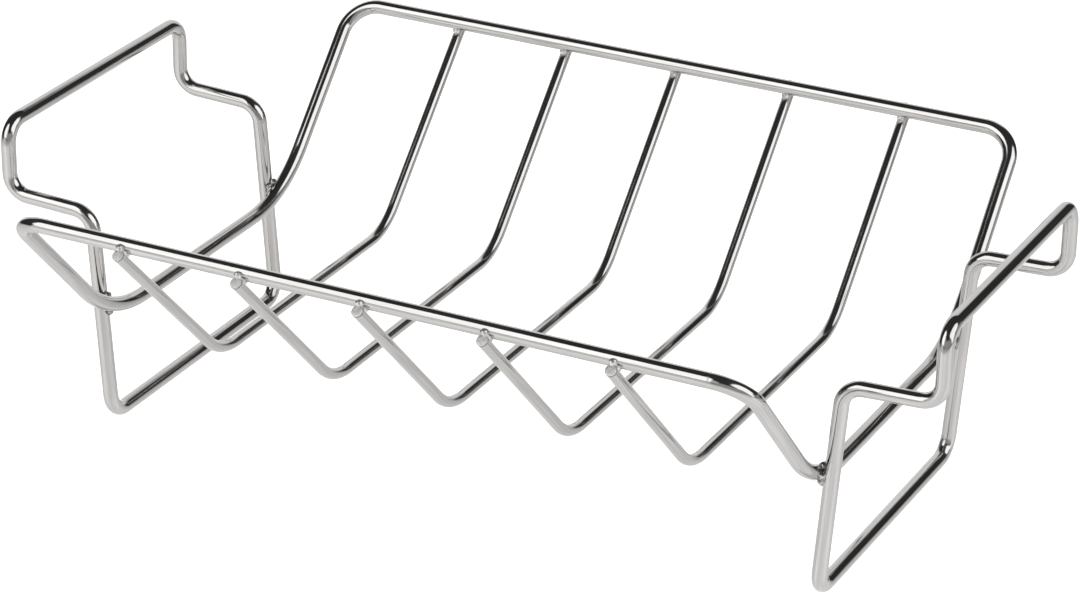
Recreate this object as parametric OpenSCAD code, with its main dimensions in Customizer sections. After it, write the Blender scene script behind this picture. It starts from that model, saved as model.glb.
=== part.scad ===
// Roasting rack of bent and welded round bar. A row of ribs hangs under the two rails of
// a closed cradle frame, and the cradle is welded between two closed end frames. The
// lower bar of each end frame is a foot, and its upper bar steps outwards into a handle.
// X runs along the rails from handle to handle, Y runs across the cradle, and Z is up.
// The origin is on the floor, under the middle of the rack.

/* [Bar stock] */
// Diameter of the bar of the cradle frame and the end frames
frame_bar_d = 6.35; // [5:0.05:7]
// Diameter of the bar of the ribs
rib_bar_d = 4.8; // [3.5:0.1:5.5]

/* [Cradle frame] */
// Length of the cradle, between the centrelines of its two arms
cradle_length = 319.5; // [280:0.5:380]
// Distance between the centrelines of the two rails
rail_spacing = 274.5; // [240:0.5:310]
// Height of the rails' centrelines above the floor
rail_height = 121.25; // [105:0.25:140]
// Width of the arms' flat bottoms, between the corners that their bends round off
arm_base_width = 140; // [130:1:150]
// Height of the arms' flat bottoms above the floor, at the centreline
arm_base_height = 50.6; // [46:0.1:56]
// Centreline radius of the bends between a rail and an arm
rail_bend_r = 14.5; // [10:0.5:30]
// Centreline radius of the bends in an arm
arm_bend_r = 60; // [40:1:70]

/* [Ribs] */
// Number of ribs
rib_count = 5; // [3:1:5]
// Distance from one rib to the next
rib_pitch = 53.5; // [40:0.5:60]
// Width of a rib's flat bottom, between the corners that its bends round off
rib_base_width = 138.75; // [120:0.25:150]
// Height of a rib's flat bottom above the floor, at the centreline
rib_base_height = 45.75; // [36:0.25:48]
// Centreline radius of a rib's bends
rib_bend_r = 30; // [15:1:45]
// Length by which a rib runs on past its weld to the rail
rib_end_past = 3.25; // [1:0.25:6]
// Width of the worn edge round a rib's cropped ends
rib_end_chamfer = 0.6; // [0.2:0.1:1]

/* [End frames] */
// Width of a foot bar, between the corners that its bends round off
foot_width = 135.5; // [125:0.25:145]
// Width of a handle, between the corners that its bends round off
handle_width = 134.5; // [125:0.25:145]
// Angle by which the uprights lean outwards from the vertical
upright_lean = 4.25; // [2:0.05:8]
// Height of the inner end of the shoulder bars above the floor, at the centreline
shoulder_height = 94.5; // [84:0.5:105]
// Rise of the shoulder bars from their inner to their outer end
shoulder_rise = 1.5; // [0:0.25:4]
// Reach of the shoulder bars, from the uprights out to the handle
handle_reach = 40; // [32:0.1:60]
// Height of the handle bars' centrelines above the floor
handle_height = 126.5; // [118:0.5:150]
// Centreline radius of every bend in an end frame
end_bend_r = 9; // [7:0.25:11]

/* [Welds] */
// Depth that two crossing bars melt into each other
weld_sink = 0.1; // [0.05:0.05:0.5]
// Radius of the collar of weld metal round the joint of a rib and a rail
rib_collar_r = 2.2; // [2:0.1:2.8]
// Radius of the drops of weld metal in the two crooks of that joint
rib_drop_r = 1.2; // [1:0.1:1.6]
// Distance from the middle of that joint to each drop, along the rib
rib_drop_offset = 2.8; // [2.4:0.1:3]
// Radius of the collar of weld metal round the joint of an arm and an upright
frame_collar_r = 3.4; // [3:0.1:4]
// Radius of the drops of weld metal in the upper and the lower crook of that joint
frame_drop_r = 1.6; // [1.4:0.1:2]
// Distance from the middle of that joint to each drop, along the upright
frame_drop_offset = 3.6; // [3.2:0.1:4]

/* [Hidden] */
$fn = 64;
rib_names = [for (i = [1 : rib_count]) str("rib_", i)];
weld_names = ["front_rib_welds", "back_rib_welds", "left_frame_welds", "right_frame_welds"];

// What a bend takes off the bar's diameter, and the length by which a straight laps over it
bend_draw = 0.02;
bend_lap = 0.05;

bar_color = [0.80, 0.80, 0.80];
weld_color = [0.62, 0.62, 0.62];

function unit(v) = v / norm(v);
function mirrored_y(path) = [for (p = path) [p.x, -p.y, p.z]];
function reversed(path) = [for (i = [len(path) - 1 : -1 : 0]) path[i]];

// A bar is a chain of straight lengths between the corners of its path, and each corner
// is rounded by a bend of its own radius. A closed path is a ring with its ends welded.
function next_of(path, i) = path[(i + 1) % len(path)];
function last_of(path, i) = path[(i + len(path) - 1) % len(path)];
function way_in(path, i) = unit(path[i] - last_of(path, i));
function way_out(path, i) = unit(next_of(path, i) - path[i]);
function turn(path, i) = acos(way_in(path, i) * way_out(path, i));
function bend_setback(path, radii, i) = radii[i] * tan(turn(path, i) / 2);
function is_end(path, i, closed) = !closed && (i == 0 || i == len(path) - 1);
function straight_setback(path, radii, i, closed) =
    is_end(path, i, closed) ? 0 : bend_setback(path, radii, i) - bend_lap;

module straight(from, to, d) {
    along = to - from;
    translate(from)
        rotate([0, acos(along.z / norm(along)), atan2(along.y, along.x)])
            cylinder(h = norm(along), d = d);
}

// Each bend is a piece of a ring. Its own X axis points from the centre of the bend to
// where the bend begins, and its own Z axis is square to the plane of the two straights.
module bend(path, radii, i, d) {
    entry = way_in(path, i);
    normal = unit(cross(entry, way_out(path, i)));
    outward = cross(entry, normal);
    centre = path[i] - entry * bend_setback(path, radii, i) - outward * radii[i];
    multmatrix([
        [outward.x, entry.x, normal.x, centre.x],
        [outward.y, entry.y, normal.y, centre.y],
        [outward.z, entry.z, normal.z, centre.z]
    ])
        rotate_extrude(angle = turn(path, i))
            translate([radii[i], 0])
                circle(d = d - bend_draw);
}

module bent_bar(path, radii, d, closed) {
    corners = len(path);
    for (i = [0 : closed ? corners - 1 : corners - 2]) {
        along = way_out(path, i);
        start = path[i] + along * straight_setback(path, radii, i, closed);
        j = (i + 1) % corners;
        straight(start, path[j] - along * straight_setback(path, radii, j, closed), d);
    }
    for (i = [0 : corners - 1])
        if (!is_end(path, i, closed))
            bend(path, radii, i, d);
}

// Cradle frame: one closed ring. Its two rails are level, and each arm drops from the
// ends of the rails at a slope, with one wide bend on each side of its flat bottom.
frame_bar_r = frame_bar_d / 2;
arm_x = cradle_length / 2;
rail_y = rail_spacing / 2;
arm_corner_y = arm_base_width / 2;
arm_slope = atan2(rail_height - arm_base_height, rail_y - arm_corner_y);
right_arm = [
    [arm_x, -rail_y, rail_height],
    [arm_x, -arm_corner_y, arm_base_height],
    [arm_x, arm_corner_y, arm_base_height],
    [arm_x, rail_y, rail_height]
];
left_arm = [for (p = reversed(right_arm)) [-p.x, p.y, p.z]];
arm_radii = [rail_bend_r, arm_bend_r, arm_bend_r, rail_bend_r];

module cradle_bar() {
    bent_bar(concat(right_arm, left_arm), concat(arm_radii, arm_radii), frame_bar_d, true);
}

module cradle_frame() {
    color(bar_color) cradle_bar();
}

// Rib: an open bar under the rails. Its slopes pass just outside the rails, at the
// distance where the two bars touch less the depth that the weld sinks them.
rib_seat = (frame_bar_d + rib_bar_d) / 2 - weld_sink;
rib_corner_y = rib_base_width / 2;
corner_to_rail = [rail_y - rib_corner_y, rail_height - rib_base_height];
rib_slope = atan2(corner_to_rail.y, corner_to_rail.x) - asin(rib_seat / norm(corner_to_rail));
rib_run = sqrt(pow(norm(corner_to_rail), 2) - pow(rib_seat, 2)) + rib_end_past;
rib_end_y = rib_corner_y + rib_run * cos(rib_slope);
rib_end_z = rib_base_height + rib_run * sin(rib_slope);

function rib_x(i) = (i - (rib_count + 1) / 2) * rib_pitch;

module rib_bar(i) {
    x = rib_x(i);
    path = [
        [x, -rib_end_y, rib_end_z],
        [x, -rib_corner_y, rib_base_height],
        [x, rib_corner_y, rib_base_height],
        [x, rib_end_y, rib_end_z]
    ];
    difference() {
        bent_bar(path, [0, rib_bend_r, rib_bend_r, 0], rib_bar_d, false);
        for (side = [0, 1])
            mirror([0, side, 0])
                translate([x, rib_end_y, rib_end_z])
                    rotate([rib_slope - 90, 0, 0])
                        end_chamfer();
    }
}

// What the chamfer takes off: a ring that runs a little past the edge on both sides
module end_chamfer() {
    rib_bar_r = rib_bar_d / 2;
    past = 0.5;
    rotate_extrude()
        polygon([
            [rib_bar_r - rib_end_chamfer - past, past],
            [rib_bar_r + past, past],
            [rib_bar_r + past, -rib_end_chamfer - past]
        ]);
}

module rails() {
    rail_end = arm_x - rail_bend_r;
    for (y = [-rail_y, rail_y])
        straight([-rail_end, y, rail_height], [rail_end, y, rail_height], frame_bar_d);
}

module rib(i) {
    color(bar_color)
        difference() {
            rib_bar(i);
            rails();
        }
}

// Height and slope of an arm's centreline, at a distance y from the middle of the rack
arm_bend_from = arm_corner_y - arm_bend_r * tan(arm_slope / 2);
arm_bend_to = arm_bend_from + arm_bend_r * sin(arm_slope);
function arm_slope_at(y) =
    y < arm_bend_from ? 0 :
    y < arm_bend_to ? asin((y - arm_bend_from) / arm_bend_r) :
    arm_slope;
function arm_height_at(y) =
    y < arm_bend_to ? arm_base_height + arm_bend_r * (1 - cos(arm_slope_at(y))) :
    arm_base_height + (y - arm_corner_y) * tan(arm_slope);

// End frame: one closed ring of eight bends. Two uprights rise from the foot bar and
// lean outwards past the cradle's arm, which is welded to their inner sides. Above it
// the shoulder bars step outwards, and the posts at their ends carry the handle bar.
foot_z = frame_bar_r;
foot_y = foot_width / 2;
handle_y = handle_width / 2;
upright_taper = (handle_y - foot_y) / (shoulder_height - foot_z);
function upright_y_at(z) = foot_y + upright_taper * (z - foot_z);

// An upright hardly tapers, so three passes are enough to find where it crosses the arm.
crossing_z = arm_height_at(upright_y_at(arm_height_at(upright_y_at(arm_height_at(handle_y)))));
crossing_y = upright_y_at(crossing_z);
arm_way = [0, cos(arm_slope_at(crossing_y)), sin(arm_slope_at(crossing_y))];
upright_way = unit([tan(upright_lean), upright_taper, 1]);
crossing_normal = unit(cross(arm_way, upright_way));
crossing_x = arm_x + (frame_bar_d - weld_sink) / crossing_normal.x;
function upright_x_at(z) = crossing_x + (z - crossing_z) * tan(upright_lean);

shoulder_x = upright_x_at(shoulder_height);
handle_x = shoulder_x + handle_reach;
end_side = [
    [upright_x_at(foot_z), foot_y, foot_z],
    [shoulder_x, handle_y, shoulder_height],
    [handle_x, handle_y, shoulder_height + shoulder_rise],
    [handle_x, handle_y, handle_height]
];
end_path = concat(end_side, mirrored_y(reversed(end_side)));
end_radii = [for (corner = end_path) end_bend_r];

module end_bar() {
    bent_bar(end_path, end_radii, frame_bar_d, true);
}

module right_end_frame() {
    color(bar_color)
        difference() {
            end_bar();
            cradle_bar();
        }
}

module left_end_frame() {
    mirror([1, 0, 0]) right_end_frame();
}

// Welds: a collar of weld metal fills the gap round each joint, and a drop stands in the
// crook on either side, as far from the one bar as from the other.
joint_r = frame_bar_r - weld_sink / 2;

// Height of a drop above the bar that it lies on, at a distance across the other bar
function drop_rise(across) = pow(across, 2) / (4 * frame_bar_r);

rib_way = [0, cos(rib_slope), sin(rib_slope)];
rail_side = [0, -sin(rib_slope), cos(rib_slope)];

module rib_weld(i) {
    joint = [rib_x(i), rail_y, rail_height] - rail_side * joint_r;
    translate(joint) sphere(r = rib_collar_r);
    for (side = [-1, 1])
        translate(joint + side * rib_way * rib_drop_offset + rail_side * drop_rise(rib_drop_offset))
            sphere(r = rib_drop_r);
}

module back_rib_welds() {
    color(weld_color)
        difference() {
            for (i = [1 : rib_count])
                rib_weld(i);
            rails();
            for (i = [1 : rib_count])
                rib_bar(i);
        }
}

module front_rib_welds() {
    mirror([0, 1, 0]) back_rib_welds();
}

frame_joint = [arm_x, crossing_y, crossing_z] + crossing_normal * joint_r;
frame_drop_across = frame_drop_offset * norm(cross(arm_way, upright_way));

module frame_weld() {
    translate(frame_joint) sphere(r = frame_collar_r);
    for (side = [-1, 1])
        translate(frame_joint + side * upright_way * frame_drop_offset
            - crossing_normal * drop_rise(frame_drop_across))
            sphere(r = frame_drop_r);
}

module right_frame_welds() {
    color(weld_color)
        difference() {
            for (side = [0, 1])
                mirror([0, side, 0]) frame_weld();
            cradle_bar();
            end_bar();
        }
}

module left_frame_welds() {
    mirror([1, 0, 0]) right_frame_welds();
}

cradle_frame();
for (i = [1 : rib_count])
    rib(i);
left_end_frame();
right_end_frame();
front_rib_welds();
back_rib_welds();
left_frame_welds();
right_frame_welds();
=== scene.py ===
import math
import bmesh
import bpy
from mathutils import Matrix, Vector, noise


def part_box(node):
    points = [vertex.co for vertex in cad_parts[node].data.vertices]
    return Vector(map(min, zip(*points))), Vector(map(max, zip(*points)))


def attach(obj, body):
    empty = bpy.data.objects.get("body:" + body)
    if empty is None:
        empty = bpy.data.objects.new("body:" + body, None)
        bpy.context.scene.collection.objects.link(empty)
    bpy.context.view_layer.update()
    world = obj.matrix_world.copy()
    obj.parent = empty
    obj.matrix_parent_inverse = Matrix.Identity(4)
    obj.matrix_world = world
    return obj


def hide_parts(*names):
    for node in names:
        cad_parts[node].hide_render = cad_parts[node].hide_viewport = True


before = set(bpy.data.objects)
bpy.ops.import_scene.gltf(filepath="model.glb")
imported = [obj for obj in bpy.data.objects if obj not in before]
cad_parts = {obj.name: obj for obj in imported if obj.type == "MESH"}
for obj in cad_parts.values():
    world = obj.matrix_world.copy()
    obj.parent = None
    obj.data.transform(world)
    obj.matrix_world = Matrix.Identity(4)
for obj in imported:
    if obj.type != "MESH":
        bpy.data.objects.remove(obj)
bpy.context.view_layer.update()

scene = bpy.context.scene
mm = 0.001


# Cradle frame.
# A ring of 6.35 mm round bar, bent cold round formers and closed by a butt weld. Its two rails
# are level, and its arms dip between them in wide bends. The bar is polished, then plated.

frame_bar = 6.35 * mm
cradle_low, cradle_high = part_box("cradle_frame")
arm_x = cradle_high.x - frame_bar / 2
rail_y = cradle_high.y - frame_bar / 2
rail_z = cradle_high.z - frame_bar / 2
arm_base_z = cradle_low.z + frame_bar / 2
arm_corner_y = 70 * mm
rail_bend = 14.5 * mm
arm_bend = 60 * mm


def name_sockets(tree, inputs, outputs):
    """Gives a node tree its named inputs and outputs, with the kind of each."""
    for way, sockets in (("INPUT", inputs), ("OUTPUT", outputs)):
        for name, kind in sockets.items():
            tree.interface.new_socket(name, in_out=way, socket_type="NodeSocket" + kind)


def feed(links, socket, value):
    """Gives a socket a value of its own, or joins it to the output of another node."""
    if isinstance(value, bpy.types.NodeSocket):
        links.new(value, socket)
    else:
        socket.default_value = value


def calculate(nodes, links, operation, *terms):
    """Works out a sum of numbers and the outputs of other nodes."""
    result = nodes.new("ShaderNodeMath")
    result.operation = operation
    for socket, term in zip(result.inputs, terms):
        feed(links, socket, term)
    return result.outputs[0]


def remap(nodes, links, value, seen, wanted):
    """Spreads a value from the range where it is seen over the wanted range, and stops there."""
    spread = nodes.new("ShaderNodeMapRange")
    spread.inputs["From Min"].default_value = seen[0]
    spread.inputs["From Max"].default_value = seen[1]
    spread.inputs["To Min"].default_value = wanted[0]
    spread.inputs["To Max"].default_value = wanted[1]
    links.new(value, spread.inputs["Value"])
    return spread.outputs[0]


def mixed(nodes, links, kind, share, first, second):
    """Mixes two numbers or two colours by the share of the second."""
    mix = nodes.new("ShaderNodeMix")
    mix.data_type = kind
    feed(links, mix.inputs["Factor"], share)
    feed(links, mix.inputs["A"], first)
    feed(links, mix.inputs["B"], second)
    return mix.outputs["Result"]


def noise_at(nodes, links, place, scale, detail):
    """Noise that varies round a half, read at a place."""
    texture = nodes.new("ShaderNodeTexNoise")
    texture.inputs["Scale"].default_value = scale
    texture.inputs["Detail"].default_value = detail
    links.new(place, texture.inputs["Vector"])
    return texture.outputs["Fac"]


def stretched(nodes, links, place, factors):
    """A place with each of its axes multiplied, so that noise read there is drawn out or pressed."""
    product = nodes.new("ShaderNodeVectorMath")
    product.operation = "MULTIPLY"
    product.inputs[1].default_value = factors
    links.new(place, product.inputs[0])
    return product.outputs[0]


def drawn_lines_group():
    """Fine lines that the drawing die leaves along a bar, and the slow waviness under its plating."""
    group = bpy.data.node_groups.new("drawn bar", "ShaderNodeTree")
    name_sockets(
        group,
        {"Along": "Float", "Around": "Vector", "Line height": "Float", "Wave height": "Float"},
        {"Height": "Float", "Haze": "Float"},
    )
    nodes, links = group.nodes, group.links
    taken = nodes.new("NodeGroupInput")
    given = nodes.new("NodeGroupOutput")
    around = nodes.new("ShaderNodeSeparateXYZ")
    links.new(taken.outputs["Around"], around.inputs[0])
    place = nodes.new("ShaderNodeCombineXYZ")
    links.new(taken.outputs["Along"], place.inputs["X"])
    links.new(around.outputs["X"], place.inputs["Y"])
    links.new(around.outputs["Y"], place.inputs["Z"])

    line_place = stretched(nodes, links, place.outputs[0], (0.03, 1, 1))
    lines = noise_at(nodes, links, line_place, scale=1000, detail=1)
    wave_place = stretched(nodes, links, place.outputs[0], (120, 260, 260))
    waves = noise_at(nodes, links, wave_place, scale=1, detail=1)
    line_relief = calculate(nodes, links, "MULTIPLY", lines, taken.outputs["Line height"])
    relief = calculate(nodes, links, "MULTIPLY_ADD", waves, taken.outputs["Wave height"], line_relief)
    links.new(relief, given.inputs["Height"])
    links.new(lines, given.inputs["Haze"])
    return group


drawn_lines = drawn_lines_group()


def new_metal(name):
    """A bare metal material, with its nodes, its links and its shader."""
    material = bpy.data.materials.new(name)
    material.use_nodes = True
    nodes, links = material.node_tree.nodes, material.node_tree.links
    shader = nodes["Principled BSDF"]
    shader.inputs["Metallic"].default_value = 1
    return material, nodes, links, shader


def emboss(nodes, links, shader, relief):
    """Gives a metal a relief, in metres."""
    bump = nodes.new("ShaderNodeBump")
    bump.inputs["Distance"].default_value = 1
    links.new(relief, bump.inputs["Height"])
    links.new(bump.outputs["Normal"], shader.inputs["Normal"])


def read_attribute(nodes, name):
    """Reads what a mesh holds under a name."""
    reader = nodes.new("ShaderNodeAttribute")
    reader.attribute_name = name
    return reader


def bright_bar_material(name, plating):
    """Polished and plated bar, dull and torn where it was cropped."""
    material, nodes, links, shader = new_metal(name)
    marks = nodes.new("ShaderNodeGroup")
    marks.node_tree = drawn_lines
    marks.inputs["Line height"].default_value = 0.009 * mm
    marks.inputs["Wave height"].default_value = 0.022 * mm
    links.new(read_attribute(nodes, "along").outputs["Fac"], marks.inputs["Along"])
    links.new(read_attribute(nodes, "around").outputs["Vector"], marks.inputs["Around"])
    most_marks = (0.3, 0.7)
    haze_range = (0.06, 0.16)
    tone_range = (0.9, 1.07)
    haze = remap(nodes, links, marks.outputs["Haze"], most_marks, haze_range)
    tone = remap(nodes, links, marks.outputs["Haze"], most_marks, tone_range)
    toned = nodes.new("ShaderNodeVectorMath")
    toned.operation = "SCALE"
    toned.inputs[0].default_value = plating
    links.new(tone, toned.inputs["Scale"])

    cropped = read_attribute(nodes, "cropped").outputs["Fac"]
    place = nodes.new("ShaderNodeTexCoord")
    tears = noise_at(nodes, links, place.outputs["Object"], scale=700, detail=3)
    most_tears = (0.35, 0.65)
    torn_tone_range = (0.85, 1)
    torn_tone = remap(nodes, links, tears, most_tears, torn_tone_range)
    color = mixed(nodes, links, "RGBA", cropped, toned.outputs[0], torn_tone)
    links.new(color, shader.inputs["Base Color"])
    torn_roughness = 0.75
    roughness = mixed(nodes, links, "FLOAT", cropped, haze, torn_roughness)
    links.new(roughness, shader.inputs["Roughness"])
    tear_height = 0.12 * mm
    torn = calculate(nodes, links, "MULTIPLY", tears, cropped)
    relief = calculate(nodes, links, "MULTIPLY_ADD", torn, tear_height, marks.outputs["Height"])
    emboss(nodes, links, shader, relief)
    return material


bright_bar = bright_bar_material("bright bar", (0.62, 0.608, 0.597))


def store(nodes, links, shape, name, kind, value):
    """Keeps a value of each point of a shape under a name, for the material to read."""
    keep = nodes.new("GeometryNodeStoreNamedAttribute")
    keep.data_type = kind
    keep.domain = "POINT"
    keep.inputs["Name"].default_value = name
    links.new(shape, keep.inputs["Geometry"])
    links.new(value, keep.inputs["Value"])
    return keep.outputs["Geometry"]


def bending_tree():
    """Bends a bar: rounds the corners of its path, sweeps the section along it, caps open ends."""
    tree = bpy.data.node_groups.new("bend a bar", "GeometryNodeTree")
    name_sockets(
        tree,
        {"Geometry": "Geometry", "Bar diameter": "Float", "Ring spacing": "Float", "Sides": "Int",
         "Finish": "Material"},
        {"Geometry": "Geometry"},
    )
    nodes, links = tree.nodes, tree.links
    taken = nodes.new("NodeGroupInput")
    given = nodes.new("NodeGroupOutput")

    path = nodes.new("GeometryNodeMeshToCurve")
    links.new(taken.outputs["Geometry"], path.inputs["Mesh"])
    radius = nodes.new("GeometryNodeInputNamedAttribute")
    radius.data_type = "FLOAT"
    radius.inputs["Name"].default_value = "bend_radius"
    bend = nodes.new("GeometryNodeFilletCurve")
    bend.mode = "POLY"
    bend.inputs["Count"].default_value = 96
    links.new(path.outputs["Curve"], bend.inputs["Curve"])
    links.new(radius.outputs["Attribute"], bend.inputs["Radius"])
    even = nodes.new("GeometryNodeResampleCurve")
    even.mode = "LENGTH"
    links.new(bend.outputs["Curve"], even.inputs["Curve"])
    links.new(taken.outputs["Ring spacing"], even.inputs["Length"])
    along = nodes.new("GeometryNodeSplineParameter").outputs["Length"]
    marked_path = store(nodes, links, even.outputs["Curve"], "along", "FLOAT", along)

    section = nodes.new("GeometryNodeCurvePrimitiveCircle")
    links.new(taken.outputs["Sides"], section.inputs["Resolution"])
    section_radius = calculate(nodes, links, "DIVIDE", taken.outputs["Bar diameter"], 2)
    links.new(section_radius, section.inputs["Radius"])
    around = nodes.new("GeometryNodeInputPosition").outputs[0]
    marked_section = store(nodes, links, section.outputs["Curve"], "around", "FLOAT_VECTOR", around)

    sweep = nodes.new("GeometryNodeCurveToMesh")
    sweep.inputs["Fill Caps"].default_value = True
    links.new(marked_path, sweep.inputs["Curve"])
    links.new(marked_section, sweep.inputs["Profile Curve"])
    real = nodes.new("GeometryNodeRealizeInstances")
    links.new(sweep.outputs["Mesh"], real.inputs["Geometry"])
    finish = nodes.new("GeometryNodeSetMaterial")
    links.new(real.outputs["Geometry"], finish.inputs["Geometry"])
    links.new(taken.outputs["Finish"], finish.inputs["Material"])
    links.new(finish.outputs["Geometry"], given.inputs["Geometry"])
    return tree


bending = bending_tree()


def bend_bar(name, corners, bends, closed, diameter, material):
    """Makes one bar from the corners of its path and the radius of the bend at each."""
    count = len(corners)
    edges = [(i, i + 1) for i in range(count - 1)]
    if closed:
        edges.append((count - 1, 0))
    mesh = bpy.data.meshes.new(name + " path")
    mesh.from_pydata(corners, edges, [])
    attribute = mesh.attributes.new("bend_radius", "FLOAT", "POINT")
    attribute.data.foreach_set("value", bends)
    path = bpy.data.objects.new(name + " path", mesh)
    scene.collection.objects.link(path)
    modifier = path.modifiers.new("bend", "NODES")
    modifier.node_group = bending
    given = {"Bar diameter": diameter, "Ring spacing": 1 * mm, "Sides": 40, "Finish": material}
    for socket in bending.interface.items_tree:
        if socket.in_out == "INPUT" and socket.name in given:
            modifier[socket.identifier] = given[socket.name]
    bent = path.evaluated_get(bpy.context.evaluated_depsgraph_get())
    bar = bpy.data.objects.new(name, bpy.data.meshes.new_from_object(bent))
    bar.data.name = name
    bpy.data.objects.remove(path)
    scene.collection.objects.link(bar)
    for face in bar.data.polygons:
        face.use_smooth = len(face.vertices) == 4
    return bar


right_arm = [
    Vector((arm_x, -rail_y, rail_z)),
    Vector((arm_x, -arm_corner_y, arm_base_z)),
    Vector((arm_x, arm_corner_y, arm_base_z)),
    Vector((arm_x, rail_y, rail_z)),
]
left_arm = [Vector((-p.x, p.y, p.z)) for p in reversed(right_arm)]
arm_bends = [rail_bend, arm_bend, arm_bend, rail_bend]
cradle_bar = bend_bar("cradle_bar", right_arm + left_arm, arm_bends * 2, True, frame_bar, bright_bar)
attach(cradle_bar, "root")
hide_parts("cradle_frame")


# Ribs.
# Five lengths of 4.8 mm round bar, cropped, worn round at the ends and bent twice. Each lies
# under both rails and is resistance welded to them, a little short of its ends.

rib_bar = 4.8 * mm
weld_sink = 0.1 * mm
rib_past = 3.25 * mm
rib_corner_y = 69.375 * mm
rib_bend = 30 * mm
worn_end = 1.5 * mm
rib_boxes = {name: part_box(name) for name in sorted(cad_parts) if name.startswith("rib_")}
rib_low, rib_high = rib_boxes["rib_1"]
rib_z = rib_low.z + rib_bar / 2
seat = (frame_bar + rib_bar) / 2 - weld_sink
to_rail = Vector((rail_y - rib_corner_y, rail_z - rib_z))
rib_slope = math.atan2(to_rail.y, to_rail.x) - math.asin(seat / to_rail.length)
rib_run = math.sqrt(to_rail.length ** 2 - seat ** 2) + rib_past
end_y = rib_corner_y + rib_run * math.cos(rib_slope)
end_z = rib_z + rib_run * math.sin(rib_slope)


def round_the_ends(mesh, worn):
    """Wears the cropped ends of a bar round, and marks them as cropped for its material."""
    work = bmesh.new()
    work.from_mesh(mesh)
    cropped = work.faces.layers.float.new("cropped")
    ends = [face for face in work.faces if len(face.verts) > 4]
    rims = [edge for face in ends for edge in face.edges]
    rounded = bmesh.ops.bevel(work, geom=rims, offset=worn, segments=6, profile=0.5, affect="EDGES")
    domes = set(rounded["faces"])
    for face in work.faces:
        flat = len(face.verts) > 4
        face[cropped] = float(flat or face in domes)
        face.smooth = not flat
    work.to_mesh(mesh)
    work.free()


for rib_name, (rib_low, rib_high) in rib_boxes.items():
    rib_x = (rib_low.x + rib_high.x) / 2
    corners = [
        Vector((rib_x, -end_y, end_z)),
        Vector((rib_x, -rib_corner_y, rib_z)),
        Vector((rib_x, rib_corner_y, rib_z)),
        Vector((rib_x, end_y, end_z)),
    ]
    rib = bend_bar(rib_name + "_bar", corners, [0, rib_bend, rib_bend, 0], False, rib_bar, bright_bar)
    round_the_ends(rib.data, worn_end)
    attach(rib, "root")
    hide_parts(rib_name)


# End frames.
# A ring of the thicker bar with eight tight bends at each end of the rack. Its lower bar is the
# foot, and its upper bar is set outwards on two short shoulders as the handle.

foot_y = 67.75 * mm
handle_y = 67.25 * mm
shoulder_z = 94.5 * mm
shoulder_rise = 1.5 * mm
handle_reach = 40 * mm
upright_lean = math.radians(4.25)
end_bend = 9 * mm
for side, end_name in ((-1, "left_end_frame"), (1, "right_end_frame")):
    end_low, end_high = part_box(end_name)
    handle_z = end_high.z - frame_bar / 2
    foot_z = end_low.z + frame_bar / 2
    handle_x = max(abs(end_low.x), abs(end_high.x)) - frame_bar / 2
    shoulder_x = handle_x - handle_reach
    foot_x = shoulder_x - (shoulder_z - foot_z) * math.tan(upright_lean)
    back_half = [
        Vector((side * foot_x, foot_y, foot_z)),
        Vector((side * shoulder_x, handle_y, shoulder_z)),
        Vector((side * handle_x, handle_y, shoulder_z + shoulder_rise)),
        Vector((side * handle_x, handle_y, handle_z)),
    ]
    front_half = [Vector((p.x, -p.y, p.z)) for p in reversed(back_half)]
    ring = back_half + front_half
    end_bar = bend_bar(end_name + "_bar", ring, [end_bend] * 8, True, frame_bar, bright_bar)
    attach(end_bar, "root")
    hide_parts(end_name)


# Welds.
# Each joint was pressed between electrodes, and the metal that squeezed out stands in lumps in
# the crooks between the bars. It is plated like the bars, but rough, and its hollows are dull.

def weld_ripple_group():
    """The relief of weld metal, and the mask of its dull hollows."""
    group = bpy.data.node_groups.new("weld ripples", "ShaderNodeTree")
    name_sockets(group, {"Position": "Vector"}, {"Height": "Float", "Scale mask": "Float"})
    nodes, links = group.nodes, group.links
    taken = nodes.new("NodeGroupInput")
    given = nodes.new("NodeGroupOutput")
    pit_depth = 0.16 * mm
    pits = noise_at(nodes, links, taken.outputs["Position"], scale=1400, detail=3)
    links.new(calculate(nodes, links, "MULTIPLY", pits, pit_depth), given.inputs["Height"])
    patch_edge = (0.42, 0.6)
    patches = noise_at(nodes, links, taken.outputs["Position"], scale=520, detail=2)
    links.new(remap(nodes, links, patches, patch_edge, (0, 1)), given.inputs["Scale mask"])
    return group


weld_ripples = weld_ripple_group()


def weld_material(name, bright, dull, roughness_range):
    """Weld metal, bright on its ripples and dull where scale was left in the hollows."""
    material, nodes, links, shader = new_metal(name)
    place = nodes.new("ShaderNodeTexCoord")
    ripples = nodes.new("ShaderNodeGroup")
    ripples.node_tree = weld_ripples
    links.new(place.outputs["Object"], ripples.inputs["Position"])
    hollows = ripples.outputs["Scale mask"]
    links.new(mixed(nodes, links, "RGBA", hollows, bright, dull), shader.inputs["Base Color"])
    roughness = remap(nodes, links, hollows, (0, 1), roughness_range)
    links.new(roughness, shader.inputs["Roughness"])
    emboss(nodes, links, shader, ripples.outputs["Height"])
    return material


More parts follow.
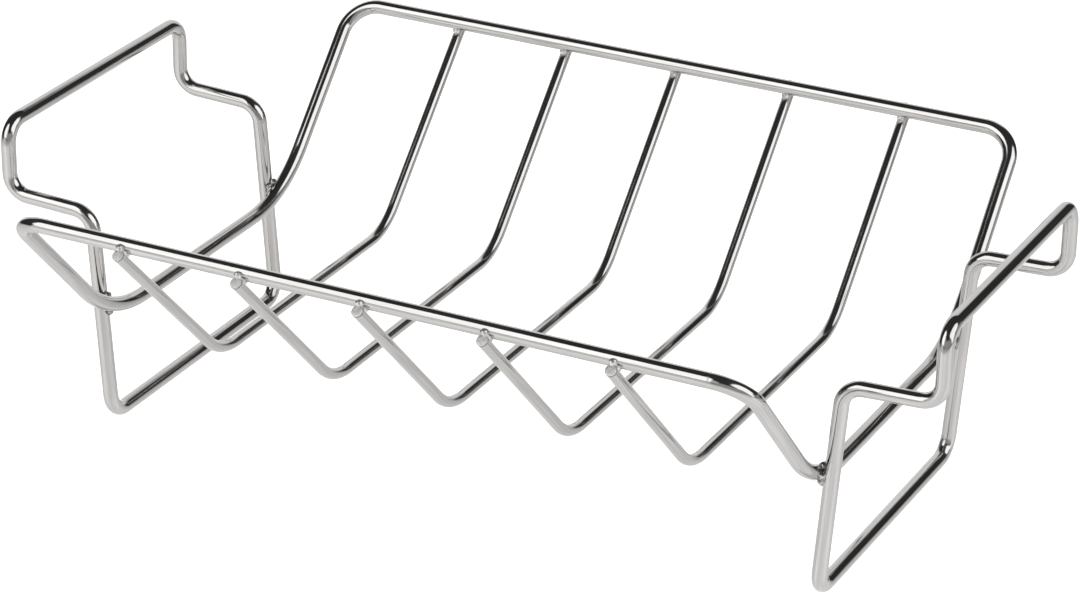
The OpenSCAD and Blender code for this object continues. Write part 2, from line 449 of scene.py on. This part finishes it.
def weld_lumps(name, balls, stubs, lump_height, material):
    """Melts balls of weld metal and stubs of the bars between them into one rough skin.

    Places and sizes are in millimetres, and the skin comes out in metres.
    """
    work = bmesh.new()
    for middle, radius in balls:
        placed = Matrix.Translation(middle)
        bmesh.ops.create_icosphere(work, subdivisions=3, radius=radius, matrix=placed)
    for start, end, radius in stubs:
        along = end - start
        turned = along.to_track_quat("Z", "Y").to_matrix().to_4x4()
        placed = Matrix.Translation((start + end) / 2) @ turned
        bmesh.ops.create_cone(work, cap_ends=True, segments=40, radius1=radius, radius2=radius,
                              depth=along.length, matrix=placed)
    mesh = bpy.data.meshes.new(name + " rough")
    work.to_mesh(mesh)
    work.free()
    rough = bpy.data.objects.new(name + " rough", mesh)
    scene.collection.objects.link(rough)
    melt = rough.modifiers.new("melt", "REMESH")
    melt.mode = "VOXEL"
    melt.voxel_size = 0.25
    settle = rough.modifiers.new("settle", "SMOOTH")
    settle.factor = 0.5
    settle.iterations = 5
    melted = rough.evaluated_get(bpy.context.evaluated_depsgraph_get())
    skin = bpy.data.meshes.new_from_object(melted)
    bpy.data.objects.remove(rough)
    lumps_per_mm = 0.9
    fading, step, octaves = 1, 2, 3
    normals = [vertex.normal.copy() for vertex in skin.vertices]
    for vertex, normal in zip(skin.vertices, normals):
        place = vertex.co * lumps_per_mm
        lump = noise.fractal(place, fading, step, octaves, noise_basis="PERLIN_ORIGINAL")
        vertex.co = (vertex.co + normal * lump * lump_height) * mm
    skin.name = name
    for face in skin.polygons:
        face.use_smooth = True
    skin.materials.append(material)
    lumps = bpy.data.objects.new(name, skin)
    scene.collection.objects.link(lumps)
    return lumps


# Sizes of the welds, in millimetres.
frame_bar_r = frame_bar / 2 / mm
rib_bar_r = rib_bar / 2 / mm
joint_r = frame_bar_r - weld_sink / 2 / mm
stub_depth = 0.3
rib_collar = 2.2
rib_drop = 1.6
rib_drop_offset = 3
rib_stub_inside = 4.5
rib_stub_past = rib_past / mm - 0.6
rail_stub = Vector((4, 0, 0))
rib_lump_height = 0.15
rib_drop_rise = rib_drop_offset ** 2 / (4 * frame_bar_r)
rib_weld_metal = weld_material(
    "rib weld metal",
    bright=(0.97, 0.96, 0.95, 1),
    dull=(0.62, 0.61, 0.6, 1),
    roughness_range=(0.38, 0.55),
)
for side, weld_name in ((-1, "front_rib_welds"), (1, "back_rib_welds")):
    balls, stubs = [], []
    rib_way = Vector((0, side * math.cos(rib_slope), math.sin(rib_slope)))
    rail_side = Vector((0, -side * math.sin(rib_slope), math.cos(rib_slope)))
    for rib_low, rib_high in rib_boxes.values():
        rail = Vector(((rib_low.x + rib_high.x) / 2, side * rail_y, rail_z)) / mm
        joint = rail - rail_side * joint_r
        balls.append((joint, rib_collar))
        for end in (-1, 1):
            drop = joint + rib_way * end * rib_drop_offset + rail_side * rib_drop_rise
            balls.append((drop, rib_drop))
        rib_middle = joint - rail_side * rib_bar_r
        stub_start = rib_middle - rib_way * rib_stub_inside
        stub_end = rib_middle + rib_way * rib_stub_past
        stubs.append((stub_start, stub_end, rib_bar_r - stub_depth))
        stubs.append((rail - rail_stub, rail + rail_stub, frame_bar_r - stub_depth))
    lumps = weld_lumps(weld_name + "_metal", balls, stubs, rib_lump_height, rib_weld_metal)
    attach(lumps, "root")
    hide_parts(weld_name)

frame_collar = 3.4
frame_drop = 1.6
frame_drop_offset = 3.6
arm_stub = 5
upright_stub = 6
frame_lump_height = 0.25
frame_weld_metal = weld_material(
    "frame weld metal",
    bright=(0.66, 0.65, 0.64, 1),
    dull=(0.12, 0.115, 0.11, 1),
    roughness_range=(0.08, 0.3),
)
arm_slope = math.atan2(rail_z - arm_base_z, rail_y - arm_corner_y)
bend_from = arm_corner_y - arm_bend * math.tan(arm_slope / 2)
for side, weld_name in ((-1, "left_frame_welds"), (1, "right_frame_welds")):
    balls, stubs = [], []
    weld_low, weld_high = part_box(weld_name)
    arm_tilt = math.asin((weld_high.y - frame_collar * mm - bend_from) / arm_bend)
    drop_rise = (frame_drop_offset * math.cos(arm_tilt)) ** 2 / (4 * frame_bar_r)
    upright_way = Vector((side * math.tan(upright_lean), 0, 1)).normalized()
    inwards = Vector((-side, 0, 0))
    for end in (-1, 1):
        joint = Vector((0, end * weld_high.y, (weld_low.z + weld_high.z) / 2)) / mm
        joint.y -= end * frame_collar
        joint.x = side * (arm_x / mm + joint_r)
        balls.append((joint, frame_collar))
        for up in (-1, 1):
            drop = joint + upright_way * up * frame_drop_offset + inwards * drop_rise
            balls.append((drop, frame_drop))
        arm = joint + inwards * frame_bar_r
        arm_way = Vector((0, end * math.cos(arm_tilt), math.sin(arm_tilt)))
        upright = joint - inwards * frame_bar_r
        for middle, reach in ((arm, arm_way * arm_stub), (upright, upright_way * upright_stub)):
            stubs.append((middle - reach, middle + reach, frame_bar_r - stub_depth))
    lumps = weld_lumps(weld_name + "_metal", balls, stubs, frame_lump_height, frame_weld_metal)
    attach(lumps, "root")
    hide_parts(weld_name)


# Table, studio and camera.
# The rack stands on a glossy white table in a dark studio. A large slanting sheet is to its
# right, a lamp with a lit card under it to its left, and a pale backdrop behind it. Three faint
# cards are the spill of the lamp and the glow of the room.

table_left = -1.5
table_right = 1.3
table_front = -1.9
table_back = 1.0
table_top = bpy.data.meshes.new("table")
table_top.from_pydata(
    [(table_left, table_front, 0), (table_right, table_front, 0),
     (table_right, table_back, 0), (table_left, table_back, 0)],
    [], [(0, 1, 2, 3)],
)
table = bpy.data.objects.new("table", table_top)
scene.collection.objects.link(table)


def painted_light_across(nodes, links, place, painted_places):
    """Painted light on the table along one axis: a ramp of emission brightness over places in metres,
    standing in for uneven lamp light and shade.
    """
    first, last = painted_places[0][0], painted_places[-1][0]
    ramp = nodes.new("ShaderNodeValToRGB")
    ramp.color_ramp.interpolation = "EASE"
    stops = ramp.color_ramp.elements
    stops[1].position = 1
    for painted_place, brightness in painted_places[1:-1]:
        stops.new((painted_place - first) / (last - first))
    for stop, (painted_place, brightness) in zip(stops, painted_places):
        stop.color = (brightness, brightness, brightness, 1)
    links.new(remap(nodes, links, place, (first, last), (0, 1)), ramp.inputs["Fac"])
    return ramp.outputs["Color"]


def painted_glow_table_material():
    """Glossy white sheet: plain white to the camera. Where the metal mirrors it, it glows with painted
    light, brighter towards the front and the sides, and painted shade makes it darker under the middle
    of the rack and towards the back.
    """
    material = bpy.data.materials.new("white table with painted glow")
    material.use_nodes = True
    nodes, links = material.node_tree.nodes, material.node_tree.links
    shader = nodes["Principled BSDF"]
    shader.inputs["Base Color"].default_value = (0.8, 0.79, 0.78, 1)
    shader.inputs["Roughness"].default_value = 1
    shader.inputs["Specular IOR Level"].default_value = 0
    shader.inputs["Coat Weight"].default_value = 1
    shader.inputs["Coat Roughness"].default_value = 0.22
    shader.inputs["Coat IOR"].default_value = 1.8
    shader.inputs["Emission Color"].default_value = (1, 1, 1, 1)
    place = nodes.new("ShaderNodeTexCoord")
    axes = nodes.new("ShaderNodeSeparateXYZ")
    links.new(place.outputs["Object"], axes.inputs[0])
    # Painted light and shade on the table, seen only in reflections: brightest a little in front of
    # the rack, darker towards the back, and darker in a strip under the middle of the rack where its
    # shade falls.
    painted_depth_light = painted_light_across(nodes, links, axes.outputs["Y"], (
        (-1.2, 0.4), (-0.68, 0.34), (-0.47, 0.62), (-0.38, 0.8), (-0.32, 0.88), (-0.25, 0.8),
        (-0.2, 0.73), (-0.11, 0.75), (0.02, 0.63), (0.35, 0.6), (0.6, 0.36), (1.1, 0.12),
    ))
    painted_width_light = painted_light_across(nodes, links, axes.outputs["X"], (
        (-0.6, 0.85), (-0.35, 0.87), (-0.2, 0.92), (-0.1, 0.81), (0.1, 0.82), (0.2, 0.97), (0.6, 0.93),
    ))
    painted_table_glow = calculate(nodes, links, "MULTIPLY", painted_depth_light, painted_width_light)
    rays = nodes.new("ShaderNodeLightPath")
    plain_white = 1.25
    shown = calculate(nodes, links, "MULTIPLY", rays.outputs["Is Camera Ray"], plain_white)
    # The painted glow shows only to glossy rays, and the camera sees plain white.
    glow = calculate(nodes, links, "MULTIPLY_ADD", rays.outputs["Is Glossy Ray"], painted_table_glow, shown)
    links.new(glow, shader.inputs["Emission Strength"])
    return material


table_top.materials.append(painted_glow_table_material())

studio_dark = 0.034
studio = bpy.data.worlds.new("studio")
scene.world = studio
studio.use_nodes = True
nodes, links = studio.node_tree.nodes, studio.node_tree.links
rays = nodes.new("ShaderNodeLightPath")
background = nodes["Background"]
background.inputs["Color"].default_value = (1, 1, 1, 1)
studio_light = mixed(nodes, links, "FLOAT", rays.outputs["Is Camera Ray"], studio_dark, 1)
links.new(studio_light, background.inputs["Strength"])

rack_middle = Vector((0, 0, 0.08))


def lit_card(name, corners, distance, brightness, fade):
    """A lit sheet that fades at its edge and is hidden from the camera.

    Its corners are azimuth and elevation in degrees, seen from the middle of the rack.
    """
    points = []
    for azimuth, elevation in corners:
        azimuth, elevation = math.radians(azimuth), math.radians(elevation)
        level = math.cos(elevation)
        towards = Vector((level * math.cos(azimuth), level * math.sin(azimuth), math.sin(elevation)))
        points.append(rack_middle + towards * distance)
    centre = sum(points, Vector()) / len(points)
    inner = [centre + (p - centre) * (1 - fade) for p in points]
    outer = [centre + (p - centre) * (1 + fade) for p in points]
    count = len(points)
    faces = [tuple(range(count))]
    for i in range(count):
        j = (i + 1) % count
        faces.append((i, i + count, j + count, j))
    sheet = bpy.data.meshes.new(name)
    sheet.from_pydata(inner + outer, [], faces)
    glow = sheet.attributes.new("glow", "FLOAT", "POINT")
    glow.data.foreach_set("value", [brightness] * count + [0] * count)
    card = bpy.data.objects.new(name, sheet)
    scene.collection.objects.link(card)
    card.visible_camera = False
    material = bpy.data.materials.new(name)
    material.use_nodes = True
    nodes, links = material.node_tree.nodes, material.node_tree.links
    nodes.remove(nodes["Principled BSDF"])
    light = nodes.new("ShaderNodeEmission")
    links.new(read_attribute(nodes, "glow").outputs["Fac"], light.inputs["Strength"])
    links.new(light.outputs[0], nodes["Material Output"].inputs["Surface"])
    sheet.materials.append(material)


sheet_right_edge = [(14, -3), (22, 5), (31, 19), (34, 38), (22, 52)]
sheet_left_edge = [(-8, 56), (-38, 48), (-42, 40), (-26, 17), (-6, -1)]
right_sheet = sheet_right_edge + sheet_left_edge
left_lamp = [(-146, 20), (-133, 9), (-101, 10), (-101, 48), (-120, 57), (-135, 56), (-148, 49)]
lamp_spill = [(-104, 8), (-82, 10), (-84, 36), (-104, 42)]
left_card = [(-141, -3), (-103, -3), (-103, 7), (-141, 7)]
room_glow = [(-102, -3), (-6, -3), (-24, 20), (-102, 24)]
low_glow = [(12, -6), (50, -6), (46, 8), (18, 12)]
backdrop = [(162, -6), (153, 30), (118, 40), (84, 40), (80, -6)]
lit_card("right_sheet", right_sheet, distance=8, brightness=1.5, fade=0.1)
lit_card("left_lamp", left_lamp, distance=2.2, brightness=1.6, fade=0.05)
lit_card("lamp_spill", lamp_spill, distance=2.5, brightness=0.55, fade=0.35)
lit_card("left_card", left_card, distance=3, brightness=0.8, fade=0.05)
lit_card("room_glow", room_glow, distance=3, brightness=0.36, fade=0.2)
lit_card("low_glow", low_glow, distance=3, brightness=0.32, fade=0.2)
lit_card("backdrop", backdrop, distance=1.9, brightness=0.88, fade=0.2)

camera_data = bpy.data.cameras.new("camera")
camera_data.sensor_width = 36
camera_data.lens = 131.915
camera_data.clip_start = 0.05
camera = bpy.data.objects.new("camera", camera_data)
scene.collection.objects.link(camera)
camera.location = (0.67203, -1.32033, 0.76031)
camera.rotation_euler = (math.radians(64.9022), math.radians(-0.6072), math.radians(27.0712))
scene.camera = camera
scene.view_settings.view_transform = "Standard"
